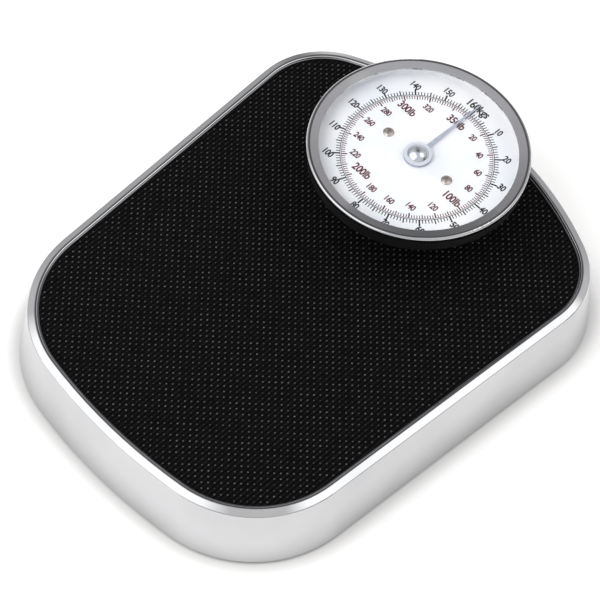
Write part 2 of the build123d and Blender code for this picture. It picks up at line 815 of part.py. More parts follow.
# Bell crank: fork on the hanger's pin, upright arm with the rack pin
crank = rod_x(crank_hub_radius, crank_low_x, crank_high_x, 0, 0)
arm_end = crank_arm + crank_fork_reach
fork = block(crank_low_x, crank_high_x, -arm_end, 0, -crank_bar / 2, crank_bar / 2)
fork_slot = crank_pin_radius + crank_pin_gap
fork_floor = crank_arm * cos(crank_turn / 2) - fork_slot
fork -= block(crank_low_x, crank_high_x, -arm_end, -fork_floor, -fork_slot, fork_slot)
upright = block(crank_low_x, crank_high_x, -crank_bar / 2, crank_bar / 2, 0, crank_rise + crank_pin_radius)
crank += fork + upright
crank += rod_x(crank_pin_radius, tab_x0, crank_high_x, 0, crank_rise)
crank -= rod_x(crank_axle_radius + shaft_gap, crank_low_x, crank_high_x, 0, 0)
crank = at(0, crank_y, crank_z) * Rot(-degrees(crank_turn / 2), 0, 0) * crank
save("bell_crank", crank)

# Crank bracket on the pan, with its axle
axle_half = crank_thickness / 2 + crank_side_gap + yoke_cheek
stand_top = crank_z + crank_hub_radius
half_y = yoke_length / 2
crank_stand = block(-axle_half, axle_half, -half_y, half_y, pan_floor, stand_top)
inner_half = axle_half - yoke_cheek
crank_stand -= block(-inner_half, inner_half, -half_y, half_y, pan_floor + yoke_foot_thickness, stand_top)
crank_stand += rod_x(crank_axle_radius, -axle_half, axle_half, 0, crank_z)
save("crank_bracket", at(crank_offset, crank_y, 0) * crank_stand)

# Spring hanger: plate with a window for the tongue, an ear and pin for the crank
sill_z = tongue_low - knife_gap
hanger_low = sill_z - hanger_sill
hanger_top = hanger_low + hanger_height
hole_z = hanger_top - hook_edge - hook_hole_radius
y0, y1 = hanger_y - hanger_thickness / 2, hanger_y + hanger_thickness / 2
hanger = block(-hanger_half_width, hanger_half_width, y0, y1, hanger_low, hanger_top)
window = tongue_width / 2 + hanger_window_side
hanger -= block(-window, window, y0, y1, sill_z, tongue_top + hanger_window_over)
for side in (-1, 1):
    hanger -= rod_y(hook_hole_radius, y0, y1, side * spring_x, hole_z)
pickup_z = crank_z + crank_arm * sin(crank_turn / 2)
ear_x0 = crank_high_x + crank_side_gap
ear_x1 = ear_x0 + pickup_ear
ear_half = crank_pin_radius + pickup_ear / 2
hanger += block(ear_x0, ear_x1, y1, pickup_y + ear_half, pickup_z - ear_half, pickup_z + ear_half)
hanger += rod_x(crank_pin_radius, ear_x0 - pickup_length + pickup_ear, ear_x1, pickup_y, pickup_z)
save("spring_hanger", hanger)

# Spring bridge across the neck
y0, y1 = hanger_y - bridge_thickness / 2, hanger_y + bridge_thickness / 2
bridge = block(-bridge_half_length, bridge_half_length, y0, y1, bridge_low, bridge_z)
bridge_hole_z = bridge_low + hook_edge + hook_hole_radius
for side in (-1, 1):
    bridge -= rod_y(hook_hole_radius, y0, y1, side * spring_x, bridge_hole_z)
save("spring_bridge", bridge)

# Main springs: close coils between two hook rings
ring_low_z = hole_z + hook_hole_radius - hook_stretch_gap - spring_wire / 2 + spring_ring_radius
ring_high_z = bridge_hole_z - hook_hole_radius + hook_gap + spring_wire / 2 - spring_ring_radius
coil_low = ring_low_z + spring_ring_radius
coil_high = ring_high_z - spring_ring_radius
coil_pitch = (coil_high - coil_low) / spring_turns


def spring_paths(radius, pitch, turns, ring_radius):
    """The coil, in quarter turns of two tangent arcs, and its upper hook with a ring."""
    climb = pitch / (2 * pi)
    height = pitch * turns
    coil = []
    for quarter in range(4 * turns):
        ends = []
        for angle in (quarter * pi / 2, (quarter + 1) * pi / 2):
            point = Vector(radius * cos(angle), radius * sin(angle), climb * angle)
            ends.append((point, Vector(-radius * sin(angle), radius * cos(angle), climb).normalized()))
        (start, leave), (stop, arrive) = ends
        chord = stop - start
        a = 2 * (1 - leave.dot(arrive))
        b = 2 * chord.dot(leave + arrive)
        reach = (sqrt(b**2 + 4 * a * chord.dot(chord)) - b) / (2 * a)
        near, far = start + leave * reach, stop - arrive * reach
        middle = (near + far) * 0.5
        coil.append(Edge.make_tangent_arc(start, leave, middle))
        coil.append(Edge.make_tangent_arc(middle, (far - near).normalized(), stop))
    along = Vector(0, radius, climb).normalized()
    up = Vector(0, -along.Z, along.Y)
    inward = Vector(radius / 2, 0, height)
    axis_end = Vector(0, 0, height)

    def on_ring(turn):
        angle = radians(turn)
        return axis_end + up * ring_radius * (1 - cos(angle)) - along * ring_radius * sin(angle)

    hook = [(Vector(radius, 0, height), inward + along * (radius / 2), axis_end)]
    for turn in range(0, hook_wrap, hook_wrap // 3):
        hook.append((on_ring(turn), on_ring(turn + hook_wrap / 6), on_ring(turn + hook_wrap / 3)))

    return Wire(coil), Wire([Edge.make_three_point_arc(*arc) for arc in hook])


def tube_points(path, step):
    count = int(path.length / step)
    return [path @ (place / count) for place in range(count + 1)]


def own_gap(points, wire):
    """The least space between stretches of a tube that aren't neighbours along it."""
    near = int(3 * wire / (points[1] - points[0]).length)
    least = (points[-1] - points[0]).length
    for first, one in enumerate(points):
        for other in points[first + near:]:
            least = min(least, (one - other).length)
    return least - wire


def tube(path):
    start = Plane(origin=path @ 0, z_dir=path % 0)
    return sweep(start * Circle(spring_wire / 2), path)


coil_line, hook_line = spring_paths(spring_radius, coil_pitch, spring_turns, spring_ring_radius)
spring_points = tube_points(coil_line, spring_wire / 4) + tube_points(hook_line, spring_wire / 4)
print("main spring: pitch", round(coil_pitch, 2), "least gap", round(own_gap(spring_points, spring_wire), 2))
hook = tube(hook_line)
main_spring = tube(coil_line) + hook + at(0, 0, coil_high - coil_low) * Rot(180, 0, 0) * hook
save("main_spring_right", at(spring_x, hanger_y, coil_low) * main_spring)
save("main_spring_left", at(-spring_x, hanger_y, coil_low) * main_spring)

# Hub collar, pointer and domed hub cap
collar = disc(hub_radius, collar_low, pointer_low, 0, dial_y)
collar -= disc(shaft_radius, collar_low, pointer_low, 0, dial_y)
save("hub_collar", collar)
needle = [
    (-pointer_root_width / 2, -pointer_tail),
    (pointer_root_width / 2, -pointer_tail),
    (pointer_root_width / 2, 0),
    (pointer_tip_width / 2, pointer_length),
    (-pointer_tip_width / 2, pointer_length),
    (-pointer_root_width / 2, 0),
]
pointer_face = make_face(Polyline(*needle, close=True)) + Circle(pointer_tail)
pointer = extrude(at(0, dial_y, pointer_low) * pointer_face, amount=pointer_thickness)
pointer -= disc(shaft_radius, pointer_low, pointer_top, 0, dial_y)
save("pointer", pointer)
cap_step = pointer_top + hub_step_height
cap = revolve(domed(hub_dome_radius, pointer_top, cap_step, hub_dome_height), Axis.Z)
cap += disc(hub_radius, pointer_top, cap_step)
save("hub_cap", at(0, dial_y, 0) * cap)

# Zero knob and its spindle through the rear of the neck
flare_share = max(0, knob_z + knob_radius - neck_top + neck_flare_start) / neck_flare_start
neck_at_knob = neck_radius + (neck_top_radius - neck_radius) * flare_share
knob_y = dial_y + neck_at_knob + knob_gap
knob = Cylinder(knob_radius, knob_width)
knob = chamfer(knob.edges(), knob_edge)
flute = Cylinder(knob_flute_radius, knob_width)
for count in range(knob_flutes):
    knob -= Rot(0, 0, 360 * count / knob_flutes) * at(knob_radius, 0, 0) * flute
knob -= at(0, 0, (knob_bore_depth - knob_width) / 2) * Cylinder(spindle_radius, knob_bore_depth)
save("zero_knob", at(0, knob_y + knob_width / 2, knob_z) * Rot(-90, 0, 0) * knob)
spindle_in = dial_y + neck_inner - spindle_reach
spindle = rod_y(spindle_radius, spindle_in, knob_y + knob_bore_depth, 0, knob_z)
spindle += rod_y(spindle_collar_radius, spindle_in, spindle_in + spindle_collar_width, 0, knob_z)
save("zero_spindle", spindle)
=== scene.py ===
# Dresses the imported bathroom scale: finishes, moulded mat points, dial print, floor, studio and camera

import math

import bpy
from mathutils import Matrix, Vector
from mathutils.bvhtree import BVHTree


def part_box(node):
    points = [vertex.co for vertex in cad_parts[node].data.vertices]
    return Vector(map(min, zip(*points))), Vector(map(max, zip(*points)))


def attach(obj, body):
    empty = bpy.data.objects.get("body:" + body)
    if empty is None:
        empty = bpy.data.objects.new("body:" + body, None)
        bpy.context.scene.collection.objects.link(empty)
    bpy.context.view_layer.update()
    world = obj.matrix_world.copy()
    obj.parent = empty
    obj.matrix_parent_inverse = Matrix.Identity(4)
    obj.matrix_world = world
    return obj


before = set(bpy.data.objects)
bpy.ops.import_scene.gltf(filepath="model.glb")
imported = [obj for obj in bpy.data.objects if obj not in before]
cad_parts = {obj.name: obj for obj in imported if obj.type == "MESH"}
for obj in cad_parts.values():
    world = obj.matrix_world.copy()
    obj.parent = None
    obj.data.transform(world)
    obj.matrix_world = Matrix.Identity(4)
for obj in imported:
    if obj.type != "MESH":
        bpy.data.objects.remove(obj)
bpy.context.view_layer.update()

MM = 0.001

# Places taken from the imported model, in millimetres
dial_low, dial_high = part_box("dial_plate")
DIAL_X = (dial_low[0] + dial_high[0]) / 2 / MM
DIAL_Y = (dial_low[1] + dial_high[1]) / 2 / MM
FACE_Z = dial_high[2] / MM
MAT_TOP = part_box("platform_mat")[1][2] / MM

# Mat: moulded points on a square lattice turned 45 degrees to the sides
POINT_PITCH = 6.5
POINT_RADIUS = 0.8
POINT_HEIGHT = 0.45
POINT_MARGIN = 1.5
MARGIN_SIDES = 8
POINT_RINGS = ((1.0, -0.05), (0.86, 0.5), (0.5, 0.86))
POINT_SIDES = 6
MAT_TOP_TOLERANCE = 0.02
RIB_HEIGHT = 0.12
MAT_GRAIN = 0.7
MAT_GRAIN_SHARE = 0.25
MAT_TINT_PATCH = 3.5

# Hub cap: the dome's foot, where the flat flange begins, and how its polish ends around it
HUB_DOME_RADIUS = 7.9
HUB_POLISH_EDGE = (-0.1, 0.3)
HUB_GRAIN = 1.2
HUB_RELIEF = 0.003

# Lens: the size of the slow drift in its tint
LENS_SWIRL = 40.0

# Dial print, radii from the dial's centre
INK_HEIGHT = 0.06
KG_TICK_START = 58.0
KG_TICK_LENGTHS = {"one": 3.2, "five": 4.2, "ten": 5.8}
KG_TICK_WIDTHS = {"one": 0.7, "five": 0.95, "ten": 1.25}
LB_TICK_START = 57.0
LB_TICK_LENGTHS = {"one": 2.8, "five": 3.5, "ten": 4.4}
LB_TICK_WIDTHS = {"one": 0.65, "five": 0.8, "ten": 1.05}
KG_NUMBER_RADIUS = 67.2
LB_NUMBER_RADIUS = 46.6
LB_HUNDRED_RADIUS = 44.9
KG_CIRCLE_WIDTH = 0.5
LB_CIRCLE_WIDTH = 0.35
CIRCLE_STEPS = 180
FULL_TURN_KG = 160
POUNDS_IN_KG = 2.20462
LB_MARKS = 176
POUNDS_IN_LB_MARK = 2

# Lettering: height, width share and how much each stroke is thickened
KG_HEADING = (7.2, 0.8, 0.28)
KG_NUMBER = (5.6, 0.8, 0.26)
LB_NUMBER = (5.2, 0.78, 0.24)
LB_HUNDRED = (6.8, 0.8, 0.26)
CAPITAL_SHARE = 0.72
LETTER_SPACING = 0.96

# Studio. The room's strength is that of its white panels, and each shade is a share of it.
# The room's stops go by height, a patch's by the cosine of the angle off its own direction.
ROOM_STRENGTH = 1.85
ROOM_STOPS = ((0.06, "#525252"), (0.2, "#979797"), (0.5, "#B4B4B4"), (1.0, "#B8B7B6"))
DARK_PATCHES = (
    # The wall behind the scale
    (
        (-0.46, 0.56, 0.69),
        (
            (0.55, "#FFFFFF"),
            (0.72, "#B2B2B2"),
            (0.82, "#A4A4A6"),
            (0.90, "#9E9C9E"),
            (0.96, "#8C8A8C"),
            (1.0, "#706E70"),
        ),
    ),
    # A dark window in that wall, which the hub's dome and the flat ledges look at
    ((-0.347, 0.418, 0.84), ((0.95, "#FFFFFF"), (0.975, "#5C5C5E"), (1.0, "#4A4A4C"))),
    # A dark doorway low in that wall, which the near side of the bezel looks at
    ((-0.57, 0.68, 0.46), ((0.935, "#FFFFFF"), (0.975, "#7E7E80"), (1.0, "#626264"))),
    # A dark stand low on the right
    ((0.89, 0.42, 0.18), ((0.90, "#FFFFFF"), (0.94, "#525252"), (1.0, "#373737"))),
)
BRIGHT_PATCHES = (
    # White panels that the near slopes of the rim look at
    ((0.43, 0.37, 0.82), ((0.88, "#000000"), (0.965, "#FFFFFF"))),
    ((-0.38, -0.60, 0.70), ((0.70, "#000000"), (0.90, "#FFFFFF"))),
)
BACKDROP_TOP = 0.10
BACKDROP_FADE = 0.04

# Lamp: its size and distance in metres, its brightness as a share of white
KEY_WAY = (-0.16, -0.56, 0.81)
KEY_DISTANCE = 2.2
KEY_SIZE = 1.3
KEY_BRIGHTNESS = 1.9

# Floor, in metres, then how far its painted shade and its painted contact shadow reach, in millimetres
FLOOR_HALF_SIZE = 3.0
FLOOR_DROP = 0.0002
FLOOR_GLOW = 0.2
PAINTED_FLOOR_SHADE_REACH = 24.0
PAINTED_CONTACT_SHADOW_REACH = 14.0
PAINTED_CONTACT_SHADOW_OPENNESS = (0.5, 0.95)

# Camera, as fitted to the photograph: degrees and millimetres, its clip in metres
LENS_MM = 125.0
SENSOR_MM = 36.0
CAMERA_AZIMUTH = 39.67
CAMERA_ELEVATION = 57.09
CAMERA_ROLL = 6.79
CAMERA_DISTANCE = 1534.0
CAMERA_TARGET = (13.75, -22.2, 58.0)
CAMERA_CLIP = (0.05, 20.0)


def linear(hex_colour):
    """An sRGB hex value as linear red, green, blue and alpha."""
    values = [int(hex_colour[place : place + 2], 16) / 255 for place in (1, 3, 5)]
    return [v / 12.92 if v <= 0.04045 else ((v + 0.055) / 1.055) ** 2.4 for v in values] + [1.0]


def per_mm(size):
    """A texture scale that repeats about every size millimetres."""
    return 1 / (size * MM)


def add(tree, kind, inputs=None, stops=(), **settings):
    """One node with its settings; an input takes a value or another node's output, a ramp its stops."""
    node = tree.nodes.new(kind)
    for name, value in settings.items():
        setattr(node, name, value)
    for name, value in (inputs or {}).items():
        if isinstance(value, bpy.types.NodeSocket):
            tree.links.new(value, node.inputs[name])
        else:
            node.inputs[name].default_value = value
    for count, (position, hex_colour) in enumerate(stops):
        elements = node.color_ramp.elements
        element = elements[count] if count < 2 else elements.new(position)
        element.position = position
        element.color = linear(hex_colour)
    return node


def empty_tree(holder):
    """The node tree of a material or world, with nothing in it yet."""
    holder.use_nodes = True
    holder.node_tree.nodes.clear()
    return holder.node_tree


def finish(name, tints, roughness, grain_mm, relief_mm, patch_mm, sockets, stretch=(1, 1, 1), smears=0.0):
    """A solid finish: fine grain drives roughness and relief, broad patches drift between two tints.

    Grain, relief and patches are sizes in millimetres. A grain too fine for the picture is drawn coarser.
    """
    material = bpy.data.materials.new(name)
    tree = empty_tree(material)
    place = add(tree, "ShaderNodeTexCoord").outputs["Object"]
    place = add(tree, "ShaderNodeMapping", {"Vector": place, "Scale": stretch}).outputs[0]
    grain = {"Vector": place, "Scale": per_mm(grain_mm), "Detail": 3.0, "Roughness": 0.55}
    fine = add(tree, "ShaderNodeTexNoise", grain).outputs["Fac"]
    patches = {"Vector": place, "Scale": per_mm(patch_mm), "Detail": 2.0}
    broad = add(tree, "ShaderNodeTexNoise", patches).outputs["Fac"]
    tint = add(tree, "ShaderNodeValToRGB", {"Fac": broad}, ((0.35, tints[0]), (0.65, tints[1])))
    spread = {"Value": fine, "From Min": 0.3, "From Max": 0.7, "To Min": roughness[0], "To Max": roughness[1]}
    rough = add(tree, "ShaderNodeMapRange", spread).outputs[0]
    if smears:
        wiped = {"Value": broad, "From Min": 0.55, "From Max": 0.75, "To Min": 0.0, "To Max": smears}
        smear = add(tree, "ShaderNodeMapRange", wiped).outputs[0]
        rough = add(tree, "ShaderNodeMath", {0: rough, 1: smear}, operation="ADD").outputs[0]
    relief = add(tree, "ShaderNodeBump", {"Height": fine, "Distance": relief_mm * MM})
    look = {"Base Color": tint.outputs[0], "Roughness": rough, "Normal": relief.outputs[0], **sockets}
    shader = add(tree, "ShaderNodeBsdfPrincipled", look)
    add(tree, "ShaderNodeOutputMaterial", {"Surface": shader.outputs[0]})
    return material


METAL = {"Metallic": 1.0}

# Chromium plate on pressed steel: a bright mirror, a little wavy from the press, with wiped smears
chrome_cover = finish(
    "chrome_plated_steel_cover",
    tints=("#BCBDBF", "#C6C6C8"),
    roughness=(0.06, 0.1),
    grain_mm=9.0,
    relief_mm=0.004,
    patch_mm=70.0,
    sockets=METAL,
    smears=0.08,
)
# Chromium plate on a spun ring: the same mirror with finer lathe polish
chrome_bezel = finish(
    "chrome_plated_bezel",
    tints=("#BBBCBE", "#C5C5C7"),
    roughness=(0.05, 0.09),
    grain_mm=5.0,
    relief_mm=0.003,
    patch_mm=40.0,
    sockets=METAL,
    smears=0.05,
)
# Silver lacquer on the hub's flat collar: pale, cool and satin
silver_collar = finish(
    "silver_lacquered_collar",
    tints=("#A4ABBA", "#B8BECB"),
    roughness=(0.25, 0.35),
    grain_mm=0.8,
    relief_mm=0.002,
    patch_mm=6.0,
    sockets={"Metallic": 0.2, "IOR": 1.5},
)
# The same rubber on the points, painted grey as a highlight that stands for light caught on the glossy black
# points: uneven grey specks with a soft shine
rubber_tips_painted_highlight = finish(
    "rubber_point_tips_painted_highlight",
    tints=("#0E0E0E", "#525252"),
    roughness=(0.35, 0.5),
    grain_mm=0.9,
    relief_mm=0.01,
    patch_mm=8.0,
    sockets={"IOR": 1.5, "Specular IOR Level": 0.4},
)
# Moulded rubber feet: dull black with the mould's dry grain, too soft for a clear reflection
rubber_foot = finish(
    "moulded_rubber_foot",
    tints=("#161616", "#202020"),
    roughness=(0.6, 0.8),
    grain_mm=0.8,
    relief_mm=0.03,
    patch_mm=10.0,
    sockets={"IOR": 1.5, "Specular IOR Level": 0.3},
)
# Stove enamel on tin plate: clean cool white with a very slight gloss
dial_enamel = finish(
    "white_enamelled_dial",
    tints=("#F4F5F8", "#FAFAFC"),
    roughness=(0.42, 0.52),
    grain_mm=0.8,
    relief_mm=0.002,
    patch_mm=30.0,
    sockets={"IOR": 1.5, "Specular IOR Level": 0.35},
)
# Moulded polystyrene ring: plain cool white with a soft, even sheen
spacer_white = finish(
    "moulded_white_ring",
    tints=("#E9EBEF", "#F3F4F6"),
    roughness=(0.35, 0.5),
    grain_mm=0.8,
    relief_mm=0.004,
    patch_mm=12.0,
    sockets={"IOR": 1.5, "Specular IOR Level": 0.4},
)
# Screen-printed enamel ink: flat and nearly matt, a little uneven where the screen laid it
ink_black = finish(
    "black_screen_ink",
    tints=("#0E0E10", "#1C1C20"),
    roughness=(0.5, 0.65),
    grain_mm=0.4,
    relief_mm=0.0,
    patch_mm=4.0,
    sockets={"IOR": 1.5, "Specular IOR Level": 0.3},
)
# The same ink in dark red, for pounds
ink_red = finish(
    "dark_red_screen_ink",
    tints=("#48141C", "#62202A"),
    roughness=(0.5, 0.65),
    grain_mm=0.4,
    relief_mm=0.0,
    patch_mm=4.0,
    sockets={"IOR": 1.5, "Specular IOR Level": 0.3},
)
# Moulded polypropylene shell: black, its spark-eroded grain breaks reflections into a soft sheen
shell_black = finish(
    "moulded_black_shell",
    tints=("#101011", "#171819"),
    roughness=(0.32, 0.45),
    grain_mm=0.5,
    relief_mm=0.01,
    patch_mm=20.0,
    sockets={"IOR": 1.49, "Specular IOR Level": 0.4},
)
# Stove enamel on the steel neck and pan: deep black gloss, softened by a faint orange peel
enamel_black = finish(
    "black_stove_enamel",
    tints=("#101011", "#19191B"),
    roughness=(0.28, 0.4),
    grain_mm=1.4,
    relief_mm=0.012,
    patch_mm=25.0,
    sockets={"IOR": 1.5, "Specular IOR Level": 0.5},
)
# Old nickel plate on the small screws: a warm, dull metal gone a little brown
screw_nickel = finish(
    "aged_nickel_screw",
    tints=("#A39A94", "#BDB5AF"),
    roughness=(0.22, 0.36),
    grain_mm=0.6,
    relief_mm=0.01,
    patch_mm=3.0,
    sockets=METAL,
)
# Silver lacquer on the stamped needle: pale, cool and satin
needle_silver = finish(
    "silver_lacquered_needle",
    tints=("#B2B9CC", "#C4CAD8"),
    roughness=(0.3, 0.4),
    grain_mm=0.8,
    relief_mm=0.002,
    patch_mm=6.0,
    sockets={"Metallic": 0.35, "IOR": 1.5},
)
# Zinc plate on pressed steel levers: pale, patchy crystals
zinc_plate = finish(
    "zinc_plated_steel",
    tints=("#A9ACAE", "#C2C5C6"),
    roughness=(0.28, 0.46),
    grain_mm=1.6,
    relief_mm=0.012,
    patch_mm=7.0,
    sockets=METAL,
)
# Drawn and oiled spring wire: a dark metal with a soft shine along its coils
spring_wire = finish(
    "oiled_spring_wire",
    tints=("#4A4A4C", "#626365"),
    roughness=(0.25, 0.4),
    grain_mm=0.5,
    relief_mm=0.01,
    patch_mm=4.0,
    sockets=METAL,
)
# Turned brass: warm yellow metal, its highlights drawn out by fine tool marks
turned_brass = finish(
    "turned_brass",
    tints=("#B08D4E", "#C7A564"),
    roughness=(0.2, 0.34),
    grain_mm=0.5,
    relief_mm=0.006,
    patch_mm=6.0,
    sockets=METAL,
    stretch=(1, 1, 6),
)


def ribbed_rubber():
    """Moulded natural rubber: deep matt black, with a dry grain and low ribs that join the points lengthwise.

    The real grain is finer than a tenth of a millimetre; it is drawn coarser, so that it shows.
    """
    material = bpy.data.materials.new("moulded_ribbed_rubber_mat")
    tree = empty_tree(material)
    place = add(tree, "ShaderNodeTexCoord").outputs["Object"]
    # Blender's wave repeats every pi / (10 * scale), and the ribs lie half a pitch apart
    rib_scale = math.pi / (10 * POINT_PITCH / 2 * MM)
    ribs = {"Vector": place, "Scale": rib_scale, "Phase Offset": math.pi}
    ribs = add(tree, "ShaderNodeTexWave", ribs, bands_direction="X").outputs["Fac"]
    grain = {"Vector": place, "Scale": per_mm(MAT_GRAIN), "Detail": 3.0}
    grain = add(tree, "ShaderNodeTexNoise", grain).outputs["Fac"]
    tint_patches = {"Vector": place, "Scale": per_mm(MAT_TINT_PATCH), "Detail": 2.0}
    tint_patches = add(tree, "ShaderNodeTexNoise", tint_patches).outputs["Fac"]
    # The rib crests are drawn lighter in colour, in random patches
    rib_crest_tint = add(tree, "ShaderNodeMath", {0: ribs, 1: tint_patches}, operation="MULTIPLY").outputs[0]
    tint = add(tree, "ShaderNodeValToRGB", {"Fac": rib_crest_tint}, ((0.15, "#060606"), (0.6, "#171717"))).outputs[0]
    spread = {"Value": grain, "From Min": 0.3, "From Max": 0.7, "To Min": 0.6, "To Max": 0.78}
    rough = add(tree, "ShaderNodeMapRange", spread).outputs[0]
    height = {0: grain, 1: MAT_GRAIN_SHARE, 2: ribs}
    height = add(tree, "ShaderNodeMath", height, operation="MULTIPLY_ADD").outputs[0]
    relief = add(tree, "ShaderNodeBump", {"Height": height, "Distance": RIB_HEIGHT * MM}).outputs[0]
    look = {"Base Color": tint, "Roughness": rough, "Normal": relief, "IOR": 1.5, "Specular IOR Level": 0.04}
    shader = add(tree, "ShaderNodeBsdfPrincipled", look)
    add(tree, "ShaderNodeOutputMaterial", {"Surface": shader.outputs[0]})
    return material


def hub_chrome():
    """Chromium plate on the hub cap: the sharpest mirror on the scale, over the dome.

    Its flat flange is silver lacquered like the collar below it, paler and satin.
    """
    material = bpy.data.materials.new("chrome_plated_hub")
    tree = empty_tree(material)
    place = add(tree, "ShaderNodeTexCoord").outputs["Object"]
    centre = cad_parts["hub_cap"].matrix_world.inverted() @ Vector((DIAL_X * MM, DIAL_Y * MM, 0))
    aside = add(tree, "ShaderNodeVectorMath", {0: place, 1: centre}, operation="SUBTRACT").outputs[0]
    aside = add(tree, "ShaderNodeVectorMath", {0: aside, 1: (1, 1, 0)}, operation="MULTIPLY").outputs[0]
    radius = add(tree, "ShaderNodeVectorMath", {0: aside}, operation="LENGTH").outputs["Value"]
    inside, outside = (HUB_DOME_RADIUS + margin for margin in HUB_POLISH_EDGE)
    edge = {"Value": radius, "From Min": inside * MM, "From Max": outside * MM}
    flange = add(tree, "ShaderNodeMapRange", edge).outputs[0]
    grain = {"Vector": place, "Scale": per_mm(HUB_GRAIN), "Detail": 3.0}
    grain = add(tree, "ShaderNodeTexNoise", grain).outputs["Fac"]
    brushed = add(tree, "ShaderNodeMath", {0: grain, 1: 0.5, 2: 0.1}, operation="MULTIPLY_ADD").outputs[0]
    spread = {"Value": flange, "To Min": 0.04, "To Max": brushed}
    rough = add(tree, "ShaderNodeMapRange", spread).outputs[0]
    tint = add(tree, "ShaderNodeValToRGB", {"Fac": flange}, ((0.0, "#D2D4D9"), (1.0, "#E6E9F0"))).outputs[0]
    relief = add(tree, "ShaderNodeBump", {"Height": grain, "Distance": HUB_RELIEF * MM}).outputs[0]
    lacquer = {"Value": flange, "To Min": 1.0, "To Max": 0.35}
    metallic = add(tree, "ShaderNodeMapRange", lacquer).outputs[0]
    look = {"Base Color": tint, "Roughness": rough, "Metallic": metallic, "Normal": relief}
    shader = add(tree, "ShaderNodeBsdfPrincipled", look)
    add(tree, "ShaderNodeOutputMaterial", {"Surface": shader.outputs[0]})
    return material


def clear_lens():
    """Moulded clear acrylic: sharp to see through, with a small bright reflection at its edge.

    The lamps' shadow rays go straight through it, so that the dial below is lit as the eye expects.
    """
    material = bpy.data.materials.new("clear_acrylic_lens")
    tree = empty_tree(material)
    place = add(tree, "ShaderNodeTexCoord").outputs["Object"]
    swirl = {"Vector": place, "Scale": per_mm(LENS_SWIRL), "Detail": 1.0}
    swirl = add(tree, "ShaderNodeTexNoise", swirl).outputs["Fac"]
    tint = add(tree, "ShaderNodeValToRGB", {"Fac": swirl}, ((0.35, "#FBFDFF"), (0.65, "#FFFFFF"))).outputs[0]
    look = {"Base Color": tint, "Roughness": 0.0, "IOR": 1.49, "Transmission Weight": 1.0}
    body = add(tree, "ShaderNodeBsdfPrincipled", look)
    clear = add(tree, "ShaderNodeBsdfTransparent")
    shadow = add(tree, "ShaderNodeLightPath").outputs["Is Shadow Ray"]
    mix = add(tree, "ShaderNodeMixShader", {0: shadow, 1: body.outputs[0], 2: clear.outputs[0]})
    add(tree, "ShaderNodeOutputMaterial", {"Surface": mix.outputs[0]})
    return material


FINISHES = {
    "platform_cover": chrome_cover,
    "platform_mat": ribbed_rubber(),
    "bezel": chrome_bezel,
    "hub_collar": silver_collar,
    "hub_cap": hub_chrome(),
    "pointer": needle_silver,
    "lens": clear_lens(),
    "dial_plate": dial_enamel,
    "spacer_ring": spacer_white,
    "head_shell": shell_black,
    "zero_knob": shell_black,
    "neck": enamel_black,
    "base_pan": enamel_black,
    "dial_screw_left": screw_nickel,
    "dial_screw_right": screw_nickel,
    "pinion_shaft": turned_brass,
    "rack": turned_brass,
    "main_spring_left": spring_wire,
    "main_spring_right": spring_wire,
}
for name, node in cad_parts.items():
    node.data.materials.clear()
    node.data.materials.append(rubber_foot if name.startswith("foot_") else FINISHES.get(name, zinc_plate))


def piece(name, vertices, faces, material, body, smooth=False):
    """A mesh piece from points in millimetres, in the frame's place, riding on a body."""
    mesh = bpy.data.meshes.new(name)
    mesh.from_pydata([tuple(c * MM for c in v) for v in vertices], [], faces)
    mesh.materials.append(material)
    for polygon in mesh.polygons:
        polygon.use_smooth = smooth
    mesh.update()
    made = bpy.data.objects.new(name, mesh)
    bpy.context.collection.objects.link(made)
    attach(made, body)
    return made


def mat_points():
    """Low six-sided domes, one wherever the mat lies under a point's whole margin."""
    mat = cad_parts["platform_mat"]
    tree = BVHTree.FromObject(mat, bpy.context.evaluated_depsgraph_get())
    low, high = [[c / MM for c in corner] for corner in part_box("platform_mat")]

    def on_mat(x, y):
        hit = tree.ray_cast(Vector((x * MM, y * MM, 1.0)), Vector((0, 0, -1)))[0]
        return hit is not None and abs(hit.z / MM - MAT_TOP) < MAT_TOP_TOLERANCE

    turns = [2 * math.pi * turn / MARGIN_SIDES for turn in range(MARGIN_SIDES)]
    around = [(POINT_MARGIN * math.cos(turn), POINT_MARGIN * math.sin(turn)) for turn in turns]
    vertices, faces = [], []
    step = POINT_PITCH / 2
    for column in range(int(low[0] / step) - 1, int(high[0] / step) + 2):
        for row in range(int(low[1] / step) - 1, int(high[1] / step) + 2):
            x, y = column * step, row * step
            if (column + row) % 2 or not all(on_mat(x + dx, y + dy) for dx, dy in around):
                continue
            start = len(vertices)
            for share, lift in POINT_RINGS:
                radius, height = POINT_RADIUS * share, MAT_TOP + POINT_HEIGHT * lift
                for side in range(POINT_SIDES):
                    angle = 2 * math.pi * side / POINT_SIDES
                    vertices.append((x + radius * math.cos(angle), y + radius * math.sin(angle), height))
            vertices.append((x, y, MAT_TOP + POINT_HEIGHT))
            top, last = len(vertices) - 1, start + (len(POINT_RINGS) - 1) * POINT_SIDES
            for side in range(POINT_SIDES):
                after = (side + 1) % POINT_SIDES
                for ring in range(start, last, POINT_SIDES):
                    above = ring + POINT_SIDES
                    faces.append((ring + side, ring + after, above + after, above + side))
                faces.append((last + side, last + after, top))
            faces.append(tuple(start + side for side in reversed(range(POINT_SIDES))))
    # The points carry the tips' grey, a painted highlight
    return piece("mat_points", vertices, faces, rubber_tips_painted_highlight, "platform", smooth=True)


mat_points()


def on_dial(turn, radius):
    """A place on the dial; turn is clockwise from the rear, in degrees."""
    angle = math.radians(90 - turn)
    return DIAL_X + radius * math.cos(angle), DIAL_Y + radius * math.sin(angle)


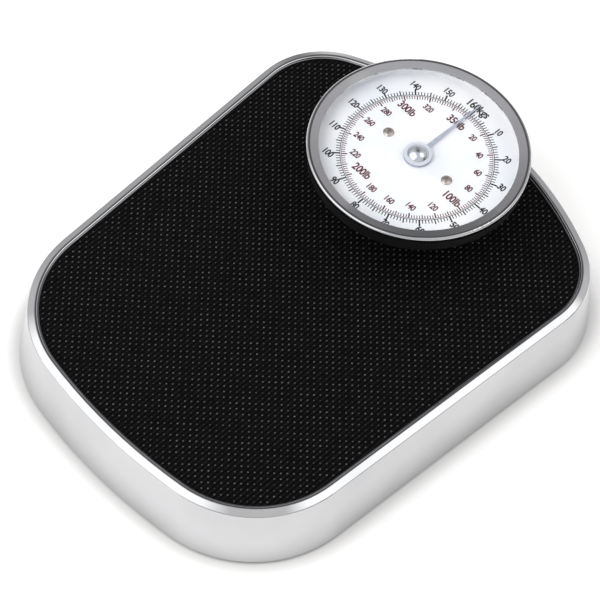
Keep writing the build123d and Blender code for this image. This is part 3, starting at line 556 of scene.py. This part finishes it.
def tick_ring(name, count, per_turn, start, lengths, widths, material, outward):
    """Thin printed bars along the radii, longer at every fifth and tenth mark."""
    vertices, faces = [], []
    sides = ((3, 2, 1, 0), (4, 5, 6, 7), (0, 1, 5, 4), (1, 2, 6, 5), (2, 3, 7, 6), (3, 0, 4, 7))
    for mark in range(count):
        kind = "ten" if mark % 10 == 0 else "five" if mark % 5 == 0 else "one"
        turn = 360 * mark / per_turn
        end = start + lengths[kind] * (1 if outward else -1)
        lean = math.radians(90 - turn)
        aside = (-math.sin(lean) * widths[kind] / 2, math.cos(lean) * widths[kind] / 2)
        corners = []
        inside, outside = sorted((start, end))
        for radius, way in ((inside, -1), (outside, -1), (outside, 1), (inside, 1)):
            x, y = on_dial(turn, radius)
            corners.append((x + aside[0] * way, y + aside[1] * way))
        first = len(vertices)
        vertices.extend((x, y, z) for z in (FACE_Z, FACE_Z + INK_HEIGHT) for x, y in corners)
        faces.extend(tuple(first + place for place in face) for face in sides)
    return piece(name, vertices, faces, material, "base")


tick_ring(
    "kg_ticks",
    count=FULL_TURN_KG,
    per_turn=FULL_TURN_KG,
    start=KG_TICK_START,
    lengths=KG_TICK_LENGTHS,
    widths=KG_TICK_WIDTHS,
    material=ink_black,
    outward=True,
)
tick_ring(
    "lb_ticks",
    count=LB_MARKS,
    per_turn=FULL_TURN_KG * POUNDS_IN_KG / POUNDS_IN_LB_MARK,
    start=LB_TICK_START,
    lengths=LB_TICK_LENGTHS,
    widths=LB_TICK_WIDTHS,
    material=ink_red,
    outward=False,
)


def circle_line(name, radius, width, material):
    """A printed circle as a thin flat ring with edges."""
    vertices, faces = [], []
    inside, outside = radius - width / 2, radius + width / 2
    for step in range(CIRCLE_STEPS):
        for r, z in ((inside, 0), (outside, 0), (outside, 1), (inside, 1)):
            vertices.append((*on_dial(-360 * step / CIRCLE_STEPS, r), FACE_Z + z * INK_HEIGHT))
    for step in range(CIRCLE_STEPS):
        a, b = 4 * step, 4 * ((step + 1) % CIRCLE_STEPS)
        for side in range(4):
            after = (side + 1) % 4
            faces.append((a + side, b + side, b + after, a + after))
    return piece(name, vertices, faces, material, "base")


circle_line("kg_circle", KG_TICK_START, KG_CIRCLE_WIDTH, ink_black)
circle_line("lb_circle", LB_TICK_START, LB_CIRCLE_WIDTH, ink_red)


def printed(name, entries, material):
    """Numbers printed upright on the dial: (text, x, y, height, width share, weight) entries as one mesh."""
    joined_vertices, joined_faces = [], []
    for text, x, y, height, narrow, weight in entries:
        curve = bpy.data.curves.new(name + "_text", "FONT")
        curve.body = text
        curve.align_x = "CENTER"
        curve.align_y = "CENTER"
        curve.size = height / CAPITAL_SHARE
        curve.offset = weight
        curve.resolution_u = 3
        curve.space_character = LETTER_SPACING
        holder = bpy.data.objects.new(name + "_text", curve)
        bpy.context.collection.objects.link(holder)
        bpy.context.view_layer.update()
        flat = bpy.data.meshes.new_from_object(holder.evaluated_get(bpy.context.evaluated_depsgraph_get()))
        first = len(joined_vertices)
        for vertex in flat.vertices:
            joined_vertices.append((x + vertex.co.x * narrow, y + vertex.co.y, FACE_Z + INK_HEIGHT))
        joined_faces.extend(tuple(first + place for place in face.vertices) for face in flat.polygons)
        bpy.data.objects.remove(holder)
        bpy.data.curves.remove(curve)
        bpy.data.meshes.remove(flat)
    return piece(name, joined_vertices, joined_faces, material, "base")


kg_entries = [("160kgs", *on_dial(0, KG_NUMBER_RADIUS), *KG_HEADING)]
for kilograms in range(10, FULL_TURN_KG, 10):
    spot = on_dial(360 * kilograms / FULL_TURN_KG, KG_NUMBER_RADIUS)
    kg_entries.append((str(kilograms), *spot, *KG_NUMBER))
printed("kg_numbers", kg_entries, ink_black)

# Degrees of turn for one pound
lb_turn = 360 / (FULL_TURN_KG * POUNDS_IN_KG)
lb_entries = []
for pounds in range(20, 340, 20):
    if pounds % 100:
        spot = on_dial(pounds * lb_turn, LB_NUMBER_RADIUS)
        lb_entries.append((str(pounds), *spot, *LB_NUMBER))
printed("lb_numbers", lb_entries, ink_red)
lb_hundred_entries = []
for pounds in (100, 200, 300, 350):
    spot = on_dial(pounds * lb_turn, LB_HUNDRED_RADIUS)
    lb_hundred_entries.append((f"{pounds}lb", *spot, *LB_HUNDRED))
printed("lb_hundreds", lb_hundred_entries, ink_red)


def background_rays(tree):
    """One for the rays that show the background: from the camera, or by way of metal or glass."""
    rays = add(tree, "ShaderNodeLightPath").outputs
    seen = {0: rays["Is Camera Ray"], 1: rays["Is Transmission Ray"]}
    seen = {0: add(tree, "ShaderNodeMath", seen, operation="MAXIMUM").outputs[0], 1: rays["Is Glossy Ray"]}
    return add(tree, "ShaderNodeMath", seen, operation="MAXIMUM").outputs[0]


def floor():
    """White card, which shows a little lighter than it is lit, with painted shade that darkens its colour
    near the object and a painted contact shadow where the object stands on it.
    """
    corners = ((-1, -1), (1, -1), (1, 1), (-1, 1))
    corners = [(x * FLOOR_HALF_SIZE, y * FLOOR_HALF_SIZE, -FLOOR_DROP) for x, y in corners]
    mesh = bpy.data.meshes.new("floor")
    mesh.from_pydata(corners, [], [(0, 1, 2, 3)])
    made = bpy.data.objects.new("floor", mesh)
    bpy.context.collection.objects.link(made)
    material = bpy.data.materials.new("white_card_floor_painted_shade")
    tree = empty_tree(material)
    # Painted shade: ambient occlusion darkens the card's own colour near the object
    shade = {"Color": linear("#FBFAF9"), "Distance": PAINTED_FLOOR_SHADE_REACH * MM}
    shade = add(tree, "ShaderNodeAmbientOcclusion", shade).outputs["Color"]
    card = add(tree, "ShaderNodeBsdfDiffuse", {"Color": shade})
    # Painted contact shadow: the glow fades out where the object stands close by
    painted_contact_openness = add(tree, "ShaderNodeAmbientOcclusion", {"Distance": PAINTED_CONTACT_SHADOW_REACH * MM}).outputs["AO"]
    shut, clear = PAINTED_CONTACT_SHADOW_OPENNESS
    level = {"Value": painted_contact_openness, "From Min": shut, "From Max": clear, "To Min": 0.0, "To Max": FLOOR_GLOW}
    level = add(tree, "ShaderNodeMapRange", level).outputs[0]
    share = add(tree, "ShaderNodeMath", {0: background_rays(tree), 1: level}, operation="MULTIPLY")
    glow = add(tree, "ShaderNodeEmission", {"Color": (1, 1, 1, 1), "Strength": share.outputs[0]})
    both = add(tree, "ShaderNodeAddShader", {0: card.outputs[0], 1: glow.outputs[0]})
    add(tree, "ShaderNodeOutputMaterial", {"Surface": both.outputs[0]})
    mesh.materials.append(material)


floor()


def studio_world():
    """A pale grey room with white panels and a darker rear wall, and a plain white backdrop low down."""
    world = bpy.data.worlds.new("studio")
    bpy.context.scene.world = world
    tree = empty_tree(world)
    way = add(tree, "ShaderNodeTexCoord").outputs["Generated"]
    height = add(tree, "ShaderNodeSeparateXYZ", {"Vector": way}).outputs["Z"]
    shade = add(tree, "ShaderNodeValToRGB", {"Fac": height}, ROOM_STOPS).outputs[0]
    patches = [(*patch, "DARKEN") for patch in DARK_PATCHES]
    patches += [(*patch, "LIGHTEN") for patch in BRIGHT_PATCHES]
    for towards, stops, blend in patches:
        near = {0: way, 1: Vector(towards).normalized()}
        near = add(tree, "ShaderNodeVectorMath", near, operation="DOT_PRODUCT").outputs["Value"]
        patch = add(tree, "ShaderNodeValToRGB", {"Fac": near}, stops).outputs[0]
        layers = {0: 1.0, 6: shade, 7: patch}
        shade = add(tree, "ShaderNodeMix", layers, data_type="RGBA", blend_type=blend).outputs[2]
    lit = add(tree, "ShaderNodeBackground", {"Color": shade, "Strength": ROOM_STRENGTH})
    white = add(tree, "ShaderNodeBackground", {"Color": (1, 1, 1, 1), "Strength": 1.0})
    low = {"Value": height, "From Min": BACKDROP_TOP, "From Max": BACKDROP_TOP - BACKDROP_FADE}
    low = add(tree, "ShaderNodeMapRange", low).outputs[0]
    backdrop = {0: background_rays(tree), 1: low}
    backdrop = add(tree, "ShaderNodeMath", backdrop, operation="MULTIPLY").outputs[0]
    mix = add(tree, "ShaderNodeMixShader", {0: backdrop, 1: lit.outputs[0], 2: white.outputs[0]})
    add(tree, "ShaderNodeOutputWorld", {"Surface": mix.outputs[0]})


studio_world()


def key_softbox():
    """A square lamp that faces the scale from its front; metal mirrors the room's panels instead of it."""
    lamp = bpy.data.lights.new("key_softbox", "AREA")
    lamp.shape = "SQUARE"
    lamp.size = KEY_SIZE
    lamp.energy = math.pi * KEY_SIZE * KEY_SIZE * KEY_BRIGHTNESS
    made = bpy.data.objects.new("key_softbox", lamp)
    bpy.context.collection.objects.link(made)
    back = Vector(KEY_WAY).normalized()
    turn = back.to_track_quat("Z", "Y").to_matrix().to_4x4()
    made.matrix_world = Matrix.Translation(back * KEY_DISTANCE) @ turn
    made.visible_glossy = False


key_softbox()


def photo_camera():
    """The camera, its back axis away from the scale and its roll about that axis."""
    azimuth, elevation, roll = (math.radians(v) for v in (CAMERA_AZIMUTH, CAMERA_ELEVATION, CAMERA_ROLL))
    level = math.cos(elevation)
    back = Vector((math.sin(azimuth) * level, -math.cos(azimuth) * level, math.sin(elevation)))
    right = Vector((math.cos(azimuth), math.sin(azimuth), 0))
    up = back.cross(right)
    across = right * math.cos(roll) + up * math.sin(roll)
    upward = up * math.cos(roll) - right * math.sin(roll)
    camera = bpy.data.cameras.new("camera")
    camera.sensor_width = SENSOR_MM
    camera.lens = LENS_MM
    camera.clip_start, camera.clip_end = CAMERA_CLIP
    made = bpy.data.objects.new("camera", camera)
    bpy.context.collection.objects.link(made)
    spot = Vector(CAMERA_TARGET) * MM + back * CAMERA_DISTANCE * MM
    made.matrix_world = Matrix.Translation(spot) @ Matrix((across, upward, back)).transposed().to_4x4()
    bpy.context.scene.camera = made


photo_camera()
bpy.context.scene.view_settings.view_transform = "Standard"
